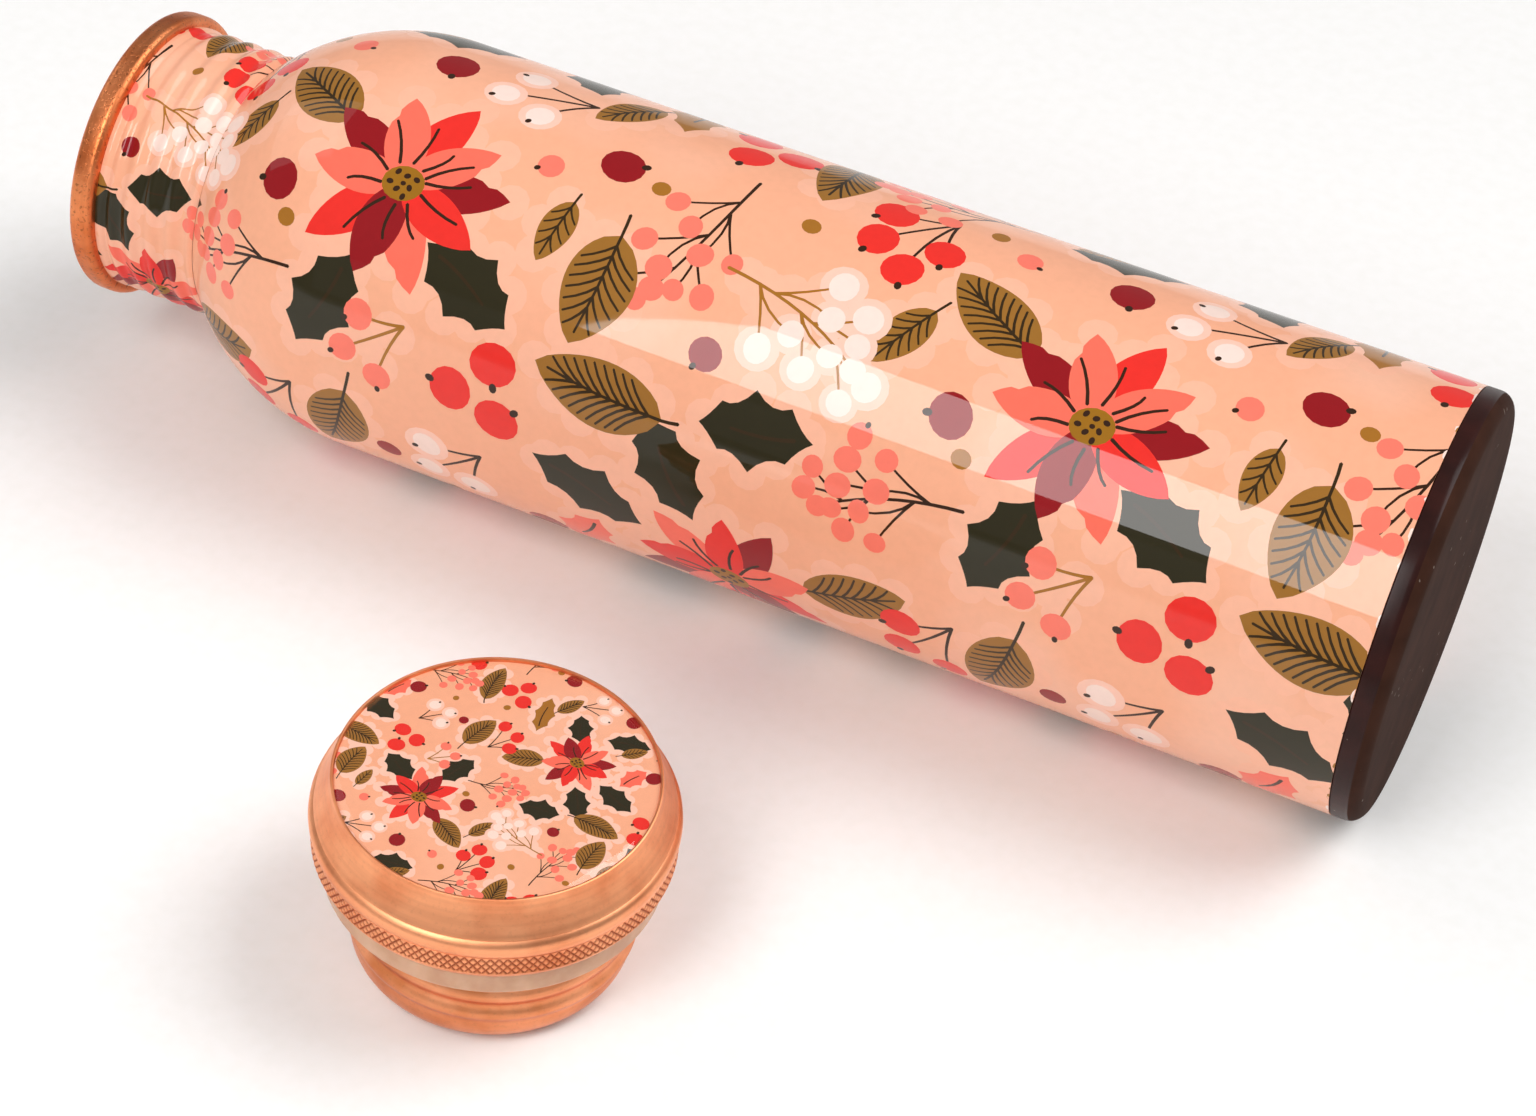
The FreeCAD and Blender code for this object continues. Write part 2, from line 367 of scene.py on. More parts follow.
# The print is winter flora. Each motif is a list of (outline, ink), drawn in mm along +x from its origin.
def turnedTo(points, at, degrees):
    c, s = math.cos(math.radians(degrees)), math.sin(math.radians(degrees))
    return [(at[0] + x * c - y * s, at[1] + x * s + y * c) for x, y in points]


def bow(a, b, c, count):
    # points along a curve from a to c that leans towards b
    steps = [i / count for i in range(count + 1)]
    return [tuple((1 - t) ** 2 * p + 2 * t * (1 - t) * q + t * t * r for p, q, r in zip(a, b, c))
            for t in steps]


def stroke(path, startWidth, endWidth):
    # a brush line with blunt round ends
    left, right = [], []
    for i, (x, y) in enumerate(path):
        before, after = path[max(i - 1, 0)], path[min(i + 1, len(path) - 1)]
        dx, dy = after[0] - before[0], after[1] - before[1]
        length = math.hypot(dx, dy)
        half = (startWidth + (endWidth - startWidth) * i / (len(path) - 1)) / 2
        ux, uy = dx / length * half, dy / length * half
        if i == 0:
            left.append((x - ux * 0.8, y - uy * 0.8))
        left.append((x - uy, y + ux))
        right.append((x + uy, y - ux))
        if i == len(path) - 1:
            left.append((x + ux * 0.8, y + uy * 0.8))
    return right + left[::-1]


def oval(at, rx, ry, degrees=0.0, count=16):
    ring = [(rx * math.cos(2 * math.pi * i / count), ry * math.sin(2 * math.pi * i / count))
            for i in range(count)]
    return turnedTo(ring, at, degrees)


def moved(shapes, at, degrees=0.0):
    return [(turnedTo(outline, at, degrees), ink) for outline, ink in shapes]


def leaf(length, width, stem, sway=0.0):
    # veined leaf with a bowed rib; stem is a share of the length
    def half(t):
        return width / 2 * math.sin(math.pi * t ** 0.85) ** 0.72 if 0 < t < 1 else 0.0

    def spine(t):
        return sway * math.sin(math.pi * t)

    ts = [i / 14 for i in range(1, 14)]
    upper = [(t * length, spine(t) + half(t)) for t in ts]
    lower = [(t * length, spine(t) - half(t)) for t in ts]
    shapes = [([(0, 0)] + lower + [(length, 0)] + upper[::-1], "leaf")]
    rib = [(t * length, spine(t)) for t in (0, 0.25, 0.5, 0.72, 0.9)]
    rib = [(-stem * length, -sway), (-stem * length / 2, -sway * 0.4)] + rib
    line = 0.32 + length * 0.014   # the rib's width; larger leaves have heavier lines
    shapes.append((stroke(rib, line, line * 0.7), "vein"))
    pairs = max(4, round(length / 2.7))
    for i in range(pairs):
        start = 0.1 + 0.66 * i / pairs
        end = min(start + 0.2, 0.95)
        for side in (1, -1):
            reach = 0.86 * half(end)
            knee = ((start + 0.12) * length, spine(start) + side * reach * 0.38)
            tip = (end * length, spine(end) + side * reach)
            vein = bow((start * length, spine(start)), knee, tip, 3)
            shapes.append((stroke(vein, line * 0.85, line * 0.65), "vein"))
    return shapes


def holly(length, width, ink="holly"):
    # spiked leaf: three points a side with hollow edges between them
    outline = []
    for side in (-1, 1):
        knots = [(0, 0)]
        for t, reach in ((0.22, 0.72), (0.54, 1.0), (0.82, 0.62)):
            knots.append((t * length, side * width / 2 * reach * random.uniform(0.9, 1.08)))
        knots.append((length, 0))
        run = [(0, 0)]
        for a, b in zip(knots, knots[1:]):
            hollow = ((a[0] + b[0]) / 2 + length * 0.01, (a[1] + b[1]) / 2 * 0.56)
            run += bow(a, hollow, b, 4)[1:]
        outline += run[:-1] if side < 0 else run[:0:-1]
    rib = bow((length * 0.16, 0), (length * 0.4, 0.05 * length), (length * 0.72, 0.0), 4)
    return [(outline, ink), (stroke(rib, 0.7, 0.5), "vein" if ink == "holly" else "twig")]


def berry(radius, ink, dot=None):
    # dot is where its dark end points, in degrees; without it there is no dark end
    shapes = []
    if ink == "whiteBerry":
        shapes.append((oval((0, 0), radius * 1.5, radius * 1.45), "glow"))
    shapes.append((oval((0, 0), radius, radius * random.uniform(0.88, 0.98), random.uniform(0, 180)), ink))
    if dot is not None:
        at = turnedTo([(radius * 0.97, 0)], (0, 0), dot)[0]
        shapes.append((oval(at, radius * 0.16 + 0.22, radius * 0.12 + 0.2, dot, 10), "twig"))
    return shapes


def dab(radius):
    return [(oval((0, 0), radius, radius * 0.9, random.uniform(0, 180), 14), "ochre")]


def petal(length, width, ink, notch):
    # broad in the middle, drawn out to a swept point; notch steps one edge in near the tip
    lean = random.uniform(-0.07, 0.07) * length
    edges = {1: [], -1: []}
    for i in range(1, 13):
        t = i / 13
        half = width / 2 * 2.13 * t ** 0.72 * (1 - t) ** 0.86
        for side in (1, -1):
            step = 0.78 if side == notch and 0.7 < t < 0.8 else 1.0
            edges[side].append((t * length, lean * t * t + side * half * step))
    return ([(0, 0)] + edges[-1] + [(length, lean)] + edges[1][::-1], ink)


def flower(radius, colours, start):
    # every second petal lies over its neighbours; start turns the whole flower
    count = len(colours)
    order = list(range(1, count, 2)) + list(range(0, count, 2))
    shapes, veins = [], []
    for i in order:
        turn = start + i * 360 / count + random.uniform(-5, 5)
        long = radius * (1.0 if i % 2 else 0.9)
        outline, ink = petal(long, radius * random.uniform(0.52, 0.6), colours[i], (i % 3 - 1))
        shapes.append((turnedTo(outline, (0, 0), turn), ink))
        for side in ((1, -1) if ink == "coral" else (random.choice((1, -1)),)):
            knee, tip = (radius * 0.42, 0.0), (radius * random.uniform(0.5, 0.66), side * 0.06 * radius)
            line = stroke(bow((radius * 0.2, side * 0.03 * radius), knee, tip, 4), 0.62, 0.5)
            veins.append((turnedTo(line, (0, 0), turn + side * 3), "twig"))
            if random.random() < 0.7:
                break
    shapes += veins
    shapes.append((oval((0, 0), radius * 0.2, radius * 0.165, start), "seedHead"))
    shapes.append((oval((0, 0), radius * 0.026, radius * 0.022), "twig"))
    for i in range(7):
        at = turnedTo([(radius * (0.075 if i % 2 else 0.125), 0)], (0, 0), start + i * 51)[0]
        shapes.append((oval(at, radius * 0.034, radius * 0.026, i * 40, 10), "twig"))
    return shapes


def spray(length, berryR, twigInk, berryInk, curl):
    # a bowed stem with forked side twigs and a berry at the end of each
    forks = 5
    stem = bow((0, 0), (length * 0.5, curl * length), (length * 0.9, 0), 10)
    fruit, twigs = [stem[-1]], [(stroke(stem, 0.62, 0.42), twigInk)]
    for i in range(forks):
        side = 1 if i % 2 else -1
        base = stem[2 + round(7 * i / forks)]
        reach = length * 0.3 * random.uniform(0.9, 1.1) * (1 - 0.3 * i / forks)
        lean = side * random.uniform(34, 44)
        knee = turnedTo([(reach * 0.55, 0)], base, lean)[0]
        for spread in (-side * 44, side * 14):
            end = turnedTo([(reach * 0.7, 0)], knee, lean + spread)[0]
            twigs.append((stroke(bow(base, knee, end, 4), 0.5, 0.38), twigInk))
            fruit.append(end)
    halos, shapes = [], []
    for end in fruit:
        parts = moved(berry(berryR * random.uniform(0.88, 1.1), berryInk), end)
        halos += parts[:-1]
        shapes += parts[-1:]
    return halos + twigs + shapes


def cluster(ends, radius, berryInk, twigInk):
    # a few dotted berries on stems that meet at the motif's origin
    halos, shapes, twigs = [], [], []
    for end in ends:
        half = (end[0] / 2, end[1] / 2 - 0.16 * end[1])
        twigs.append((stroke(bow((0, 0), half, end, 5), 0.6, 0.46), twigInk))
        away = math.degrees(math.atan2(end[1], end[0])) + random.uniform(-30, 30)
        parts = moved(berry(radius * random.uniform(0.92, 1.08), berryInk, away), end)
        halos += parts[:-2]
        shapes += parts[-2:]
    return twigs + halos + shapes


random.seed(41)
# the two flowers' petals, in order round each
warm = ["coral", "red", "burgundy", "coral", "red", "burgundy", "coral", "red", "coral", "burgundy"]
deep = ["red", "burgundy", "coral", "red", "burgundy", "red", "coral", "burgundy", "red", "coral"]

# One repeat of the print: where each motif stands along the bottle and round it, and its turn
repeat = [
    # flower with its leaves
    ((50, 30), 152, holly(20, 14)),
    ((62, 36), 68, holly(20, 13)),
    ((71, 14), -32, leaf(21, 11, 0.0, 0.6)),
    ((58, 22), 0, flower(19, warm, 8)),
    # the deeper flower
    ((98, 70), 202, leaf(20, 11, 0.0, -0.6)),
    ((108, 88), 116, holly(18, 12)),
    ((118, 62), -58, holly(20, 13)),
    ((112, 76), 0, flower(18.5, deep, -14)),
    # from the foot towards the mouth, row by row round the bottle
    ((1, -15), 0, berry(4.1, "red", 160)),
    ((10, -19), 0, berry(4.3, "red", -20)),
    ((8, -9.5), 0, berry(4.0, "red", 80)),
    ((27, -17), 58, leaf(15, 7.5, 0.15)),
    ((36, -8), 15, cluster([(12, -6), (16, 1), (9, 6)], 2.7, "whiteBerry", "twig")),
    ((56, -22), 12, holly(21, 13)),
    ((62, -6), 0, berry(3.9, "burgundy", 100)),
    ((80, -6), 0, berry(2.5, "paleCoral", 150)),
    ((87, -11), 0, dab(1.8)),
    ((117, -26), 92, leaf(23, 11, 0.1, 0.9)),
    ((3, -2), 74, spray(31, 2.2, "twig", "paleCoral", 0.1)),
    ((25, 5), 0, berry(4.0, "burgundy", 200)),
    ((17, 7), 0, dab(1.7)),
    ((36, 10), 0, berry(2.4, "paleCoral", 30)),
    ((94, -10), 60, cluster([(8, -7), (15, -3), (16, 5), (8, 6)], 3.7, "red", "twig")),
    ((19, 18), 84, leaf(20, 12.5, 0.2, 0.7)),
    ((29, 15), 80, leaf(12, 6, 0.15)),
    ((80, 28), 0, berry(4.0, "burgundy", 10)),
    ((89, 12), 60, leaf(14, 7, 0.2)),
    ((76, 34), 0, dab(1.8)),
    ((124, 17), 160, spray(31, 2.5, "ochre", "whiteBerry", 0.12)),
    ((115, 4), 0, dab(1.8)),
    ((122, 32), 0, berry(3.0, "burgundy", 60)),
    ((100, 40), 8, holly(20, 13)),
    ((93, 36), 0, berry(2.3, "paleCoral", 250)),
    ((2, 45), -6, leaf(24, 12, 0.12, 0.7)),
    ((33, 46), 0, berry(4.3, "red", 100)),
    ((40, 53), 0, berry(4.1, "red", -10)),
    ((31, 56), 0, berry(4.2, "red", 220)),
    ((50, 45), 40, cluster([(7, -5), (13, -1), (10, 6)], 2.7, "paleCoral", "ochre")),
    ((73, 42), 18, spray(28, 2.2, "twig", "paleCoral", -0.12)),
    ((24, 60), 158, holly(22, 13)),
    ((12, 72), 64, holly(16, 11, "coral")),
    ((34, 66), 46, cluster([(9, -6), (15, -1), (10, 6)], 2.7, "whiteBerry", "twig")),
    ((60, 62), 72, leaf(21, 12, 0.22, 0.6)),
    ((71, 65), 60, cluster([(8, -6), (15, -2), (14, 7)], 3.5, "red", "twig")),
    ((53, 75), 0, berry(2.4, "burgundy")),
    ((24, 84), 0, berry(4.0, "burgundy", 40)),
    ((20, 95), 12, spray(29, 2.2, "twig", "paleCoral", 0.12)),
    ((4, 90), 40, leaf(13, 6.5, 0.2)),
    ((67, 92), 0, dab(1.8)),
    ((86, 85), 98, holly(23, 11, "ochre")),
    ((43, 86), 0, dab(1.6)),
]
halfDrop = (62.0, bodyTurn / 2)   # each repeat stands this far on along the bottle and round it
scallop = {"radius": 3.3, "step": 5.2, "leastSpan": 9}


def scallops(motif):
    # a paler cloud-edged patch that sets a large motif off from the ground
    step = scallop["step"]
    patch = []
    for outline, ink in motif:
        span = max(math.dist(outline[0], p) for p in outline)
        if ink in ("vein", "twig") or span < scallop["leastSpan"]:
            continue
        walked = step
        for a, b in zip(outline, outline[1:] + outline[:1]):
            walked += math.dist(a, b)
            if walked >= step:
                patch.append((oval(b, scallop["radius"], scallop["radius"], count=12), "halo"))
                walked = 0
    return patch


def printedShapes(window):
    # every copy of the repeat that reaches into the window, in painting order
    shapes = []
    patches = [(at, degrees, scallops(motif)) for at, degrees, motif in repeat]
    for at, degrees, motif in patches + repeat:
        for outline, ink in moved(motif, at, degrees):
            for drop in range(-3, 5):
                for wrap in (-2, -1, 0, 1, 2):
                    du, dv = drop * halfDrop[0], drop * halfDrop[1] + wrap * bodyTurn
                    us, vs = [p[0] + du for p in outline], [p[1] + dv for p in outline]
                    if (max(us) > window[0] and min(us) < window[1]
                            and max(vs) > window[2] and min(vs) < window[3]):
                        shapes.append((list(zip(us, vs)), ink))
    return shapes


def signedArea(points):
    return sum(a[0] * b[1] - b[0] * a[1] for a, b in zip(points, points[1:] + points[:1])) / 2


def cutPrint(shapes, frameLoop, lines):
    # cuts the area inside frameLoop along every outline and every grid line; each triangle
    # takes the ink of the topmost shape over it
    points, edges, loops = [], [], []
    for outline, ink in [(frameLoop, "ground")] + shapes:
        if signedArea(outline) < 0:
            outline = outline[::-1]
        loops.append(list(range(len(points), len(points) + len(outline))))
        points += outline
    for a, b in lines:
        edges.append((len(points), len(points) + 1))
        points += [a, b]
    made = delaunay_2d_cdt([Vector(p) for p in points], edges, loops, 0, 1e-5, True)
    names = ["ground"] + [ink for outline, ink in shapes]
    return made[0], [(triangle, names[max(source)]) for triangle, source in zip(made[2], made[5])
                     if 0 in source]


def showMesh(name, points, faces, materials, slots, normals=None, sharp=None):
    mesh = bpy.data.meshes.new(name)
    mesh.from_pydata(points, [], faces)
    for material in materials:
        mesh.materials.append(material)
    mesh.polygons.foreach_set("material_index", slots)
    mesh.shade_smooth()
    if sharp:
        mesh.set_sharp_from_angle(angle=math.radians(sharp))
    if normals:
        mesh.normals_split_custom_set_from_vertices(normals)
    mesh.update()
    piece = bpy.data.objects.new(name, mesh)
    bpy.context.scene.collection.objects.link(piece)
    return piece


def printedSkin(name, cut, surface, thickness):
    # lays the cut print on a surface and closes it behind, so that it is a thin solid skin
    verts, triangles = cut
    step = 0.01   # mm, for reading the surface's slope
    weld = 0.002   # mm; points nearer than this are one
    points, normals, merged, places = [], [], {}, {}
    for i in sorted({i for triangle, ink in triangles for i in triangle}):
        u, v = verts[i]
        at = surface(u, v)
        key = tuple(round(c / (weld * mm)) for c in at)   # the seam's two sides are one point
        if key not in places:
            places[key] = len(points)
            acrossU = surface(u + step, v) - surface(u - step, v)
            acrossV = surface(u, v + step) - surface(u, v - step)
            points.append(at)
            normals.append(acrossU.cross(acrossV).normalized())
        merged[i] = places[key]
    inkNames = list(inks)
    faces, slots = [], []
    for triangle, ink in triangles:
        face = [merged[i] for i in triangle]
        if len(set(face)) == 3:
            faces.append(face)
            slots.append(inkNames.index(ink))
    borders = set()
    for face in faces:
        for a, b in zip(face, face[1:] + face[:1]):
            if (b, a) in borders:
                borders.remove((b, a))
            else:
                borders.add((a, b))
    count = len(points)
    behind = [p - n * thickness * mm for p, n in zip(points, normals)]
    back = [[i + count for i in face[::-1]] for face in faces]
    rim = [[b, a, a + count, b + count] for a, b in sorted(borders)]
    slots += [inkNames.index("ground")] * (len(back) + len(rim))
    piece = showMesh(name, points + behind, faces + back + rim, list(inks.values()), slots,
                     normals + [-n for n in normals])
    print(name, "has", len(slots), "faces")
    return piece


def rectangle(window):
    return [(window[0], window[2]), (window[1], window[2]), (window[1], window[3]), (window[0], window[3])]


def gridLines(window, uLines, vLines):
    return ([((u, window[2]), (u, window[3])) for u in uLines]
            + [((window[0], v), (window[1], v)) for v in vLines])


skin = {
    "thick": 0.2,
    "shoulderStart": 191.0,
    "seam": -80.0,   # where the two sides of the print meet, in mm round the body from its top
    "roundStep": 2.4,   # the mesh's steps in mm: round the body, along it, on the dome, on the thread
    "alongStep": 6.0,
    "domeStep": 1.6,
    "threadStep": 0.5,
}
thread = {
    "pitch": 4.2,
    "ridge": 0.7,
    "fade": 0.5,   # turns over which the thread runs out at each end
    "before": 0.8,   # it starts this far below the neck's root and ends this far inside the collar
    "inside": 1.0,
    "collar": 2.2,   # the plain collar under the lip, and how far from the lip it is at full width
    "collarFlat": 0.6,
}
neckRoot = radiusOf("neck_print") - thread["ridge"]
neckPrint = {"from": 98.0, "scale": neckRoot / bodyR}   # from: where in the repeat the neck's print starts
copperR = bodyR - skin["thick"]
domeRise = neckStart - skin["shoulderStart"]
domeDrop = copperR - (neckRoot - skin["thick"])
copperDome = (domeRise ** 2 + domeDrop ** 2) / (2 * domeDrop)
skinDome = copperDome + skin["thick"]
domeEnd = skin["shoulderStart"] + skinDome * math.asin(domeRise / skinDome)


def bodySurface(u, v):
    # u runs along the cylinder and then up the dome, v round the body, both in mm
    if u <= skin["shoulderStart"]:
        return lying(bodyR, u, v / bodyR)
    lean = (u - skin["shoulderStart"]) / skinDome
    return lying(copperR - copperDome + skinDome * math.cos(lean),
                 skin["shoulderStart"] + skinDome * math.sin(lean), v / bodyR)


def helix(height, angle, low, high):
    # how far a rolled thread stands out: 0 in a valley, 1 on a ridge, dying out at both ends
    wave = 0.5 - 0.5 * math.cos(2 * math.pi * ((height - low) / thread["pitch"] + angle / (2 * math.pi)))
    run = thread["fade"] * thread["pitch"]
    return wave * smoothStep(low, low + run, height) * (1 - smoothStep(high - run, high, height))


def neckRadius(height, angle):
    collarFrom = lipStart - thread["collar"]
    ridge = helix(height, angle, neckStart - thread["before"], collarFrom + thread["inside"])
    collarRise = smoothStep(collarFrom, lipStart - thread["collarFlat"], height)
    return neckRoot + thread["ridge"] * max(ridge, collarRise)


def neckSurface(u, v):
    height = neckStart + (u - neckPrint["from"]) * neckPrint["scale"]
    return lying(neckRadius(height, v / bodyR), height, v / bodyR)


chipAndGlintSpots = {
    "count": 70,
    "about": (-0.1, 0.15),   # where they lie about the skin's edge, and their half sizes, in mm
    "along": (0.2, 0.5),
    "round": (0.3, 1.3),
    "fromSeam": 1,
}


def chipsAndPaintedGlints():
    # small flakes out of the enamel where it was cut off at the foot, in pale and ochre inks: partly chips,
    # partly painted glints along the edge
    flakes = []
    for i in range(chipAndGlintSpots["count"]):
        at = (footTop + random.uniform(*chipAndGlintSpots["about"]),
              skin["seam"] + random.uniform(chipAndGlintSpots["fromSeam"], bodyTurn - chipAndGlintSpots["fromSeam"]))
        flake = oval((0, 0), random.uniform(*chipAndGlintSpots["along"]), random.uniform(*chipAndGlintSpots["round"]), 0, 9)
        ragged = [(x * random.uniform(0.7, 1.2), y * random.uniform(0.8, 1.2)) for x, y in flake]
        flakes.append((turnedTo(ragged, at, 0), random.choice(("whiteBerry", "halo", "ochre"))))
    return flakes


def printedPieces():
    window = (footTop, domeEnd, skin["seam"], skin["seam"] + bodyTurn)
    vLines = spaced(window[2], window[3], skin["roundStep"])[1:-1]
    uLines = spaced(footTop, skin["shoulderStart"], skin["alongStep"])[1:]
    uLines += spaced(skin["shoulderStart"], domeEnd, skin["domeStep"])[1:-1]
    shapes = printedShapes(window) + chipsAndPaintedGlints()
    cut = cutPrint(shapes, rectangle(window), gridLines(window, uLines, vLines))
    body = printedSkin("printed_body_skin", cut, bodySurface, skin["thick"])
    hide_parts("body_print")
    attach(body, "bottle")
    neckEnd = neckPrint["from"] + (lipStart - neckStart) / neckPrint["scale"]
    window = (neckPrint["from"], neckEnd, skin["seam"], skin["seam"] + bodyTurn)
    lines = gridLines(window, spaced(window[0], window[1], skin["threadStep"])[1:-1], vLines)
    cut = cutPrint(printedShapes(window), rectangle(window), lines)
    neck = printedSkin("printed_neck_skin", cut, neckSurface, skin["thick"])
    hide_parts("neck_print")
    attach(neck, "bottle")


printedPieces()


def loft(name, rings, materials, body, sharp=38, slots=None):
    # a turned piece from rings of points: joins ring to ring and the last to the first; rings may
    # differ in count, and a ring of one point closes an end. Edges over sharp degrees stay crisp.
    points, faces, marks, starts = [], [], [], []
    for ring in rings:
        starts.append(len(points))
        points += ring
    pairs = list(zip(range(len(rings)), range(1, len(rings))))
    if len(rings[0]) > 1:
        pairs.append((len(rings) - 1, 0))
    for a, b in pairs:
        countA, countB = len(rings[a]), len(rings[b])
        before = len(faces)
        i = j = 0
        while i < (countA if countA > 1 else 0) or j < (countB if countB > 1 else 0):
            pointA, pointB = starts[a] + i % countA, starts[b] + j % countB
            nextA, nextB = starts[a] + (i + 1) % countA, starts[b] + (j + 1) % countB
            if countA == countB:
                faces.append([pointA, nextA, nextB, pointB])
                i, j = i + 1, j + 1
            elif countB == 1 or (countA > 1 and (i + 1) * countB <= (j + 1) * countA):
                faces.append([pointA, nextA, pointB])
                i += 1
            else:
                faces.append([pointA, nextB, pointB])
                j += 1
        marks += [slots[a] if slots else 0] * (len(faces) - before)
    piece = showMesh(name, points, faces, materials, marks, sharp=sharp)
    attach(piece, body)
    return piece


def turn(place, path, count):
    # rings for a section path of (radius, height) that runs anticlockwise, with radius to the
    # right and height upward; a radius may be a function of height and angle
    way = -1 if place is lying else 1
    angles = [way * 2 * math.pi * i / count for i in range(count)]
    rings = []
    for radius, height in path:
        if callable(radius):
            rings.append([place(radius(height, a), height, a) for a in angles])
        else:
            rings.append([place(radius, height, a) for a in (angles if radius else angles[:1])])
    return rings


def rounded(centre, radius, fromDeg, toDeg, count):
    angles = [math.radians(fromDeg + (toDeg - fromDeg) * i / count) for i in range(count + 1)]
    return [(centre[0] + radius * math.cos(a), centre[1] + radius * math.sin(a)) for a in angles]


foot = {
    "edgeR": 2.8,
    "edgeSteps": 9,
    "faceSteps": 7,   # the matte face runs this many steps round the edge
    "faceRings": (0, 8, 16, 24, 30),
    "backRing": 20,
    "skinEdge": 0.25,   # small bevel against the printed skin
    "segments": 160,
}


def footPiece():
    edge = foot["edgeR"]
    face = [(x, 0.0) for x in foot["faceRings"]]
    corner = rounded((bodyR - edge, edge), edge, -90, 0, foot["edgeSteps"])
    back = [(bodyR, footTop - foot["skinEdge"]), (bodyR - foot["skinEdge"], footTop),
            (foot["backRing"], footTop), (0, footTop)]
    path = face + corner + back
    slots = [0 if i < len(face) + foot["faceSteps"] else 1 for i in range(len(path))]
    piece = loft("foot_rubber_pad", turn(lying, path, foot["segments"]),
                 [footFaceRubber, footSideRubber], "bottle", 30, slots)
    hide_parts("foot_pad")


lip = {"outerRound": 1.35, "outerSteps": 6, "innerRound": 1.2, "innerSteps": 5, "segments": 200}
collar = {"wall": 0.6, "step": 0.35, "segments": 120}


def lipPiece():
    outer = radiusOf("lip_ring")
    bore = neckRoot + thread["ridge"] - skin["thick"] - collar["wall"]
    edge, inner = lip["outerRound"], lip["innerRound"]
    path = [(bore, lipStart)] + rounded((outer - edge, lipStart + edge), edge, -90, 0, lip["outerSteps"])
    path += rounded((outer - edge, lipTop - edge), edge, 0, 90, lip["outerSteps"])
    path += rounded((bore + inner, lipTop - inner), inner, 90, 180, lip["innerSteps"])
    piece = loft("copper_lip_bead", turn(lying, path, lip["segments"]), [lipCopper], "bottle")
    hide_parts("lip_ring")


def collarPiece():
    rows = spaced(neckStart, lipStart, collar["step"])
    back = skin["thick"] + collar["wall"]
    outer = [(lambda h, a: neckRadius(h, a) - skin["thick"], h) for h in rows]
    inner = [(lambda h, a: neckRadius(h, a) - back, h) for h in reversed(rows)]
    piece = loft("rolled_neck_collar", turn(lying, outer + inner, collar["segments"]), [insideCopper],
                 "bottle", 60)
    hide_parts("neck_collar")


footPiece()
lipPiece()
collarPiece()
print("bottle pieces made")


# the cap's section: radii, and heights above the floor, in mm. The lists of pairs are the small
# turns of its outline, as steps out and up from the place that each is named for.
cap = {
    "wall": 0.8,
    "seat": 37.1,
    "rimR": 25.5,
    "rim": ((0, -0.35), (-0.06, -0.1), (-0.25, 0)),
    "discEdge": ((0.12, -0.06), (0.02, -0.3)),
    "flareR": 27.9,
    "flareTop": 0.9,   # how much shorter the flare is than the whole way from bead to rim
    "flareHollow": 0.15,
    "flareRings": (0.08, 0.2, 0.35, 0.5, 0.65, 0.8, 0.92),
    "beadLow": 28.4,
    "beadHigh": 31.6,
    "beadFoot": ((-0.1, 0), (0.08, 0.2)),
    "beadCrown": ((-0.05, -0.75), (0, -0.1), (-0.07, 0.5), (-0.27, 1.0)),
    "beadNeck": ((0.14, -0.1), (-0.04, 0.02), (0.1, 0.22), (0.02, 0.4)),
    "edgeIn": 0.7,   # the plain edge under the knurl is this much inside it
    "lowEdge": ((-0.25, 0), (0.1, 0.3)),
    "knurlFoot": (-0.12, -0.3),
    "knurlLow": 24.8,
    "knurlR": 28.5,
    "knurlPitch": 1.3,
    "knurlRise": 1.65,
    "knurlDepth": 0.32,
    "knurlSharp": 2.2,
    "knurlRow": 0.15,
    "knurlFadeIn": (-0.1, 0.25),
    "knurlFadeOut": (-0.35, -0.1),
    "knurlTop": 0.05,   # its last row of points is this far under the bead
    "samples": 8,   # points across one diamond
}
discR = radiusOf("cap_resin_dome")


def stepsFrom(r, h, steps):
    return [(r + out, h + up) for out, up in steps]


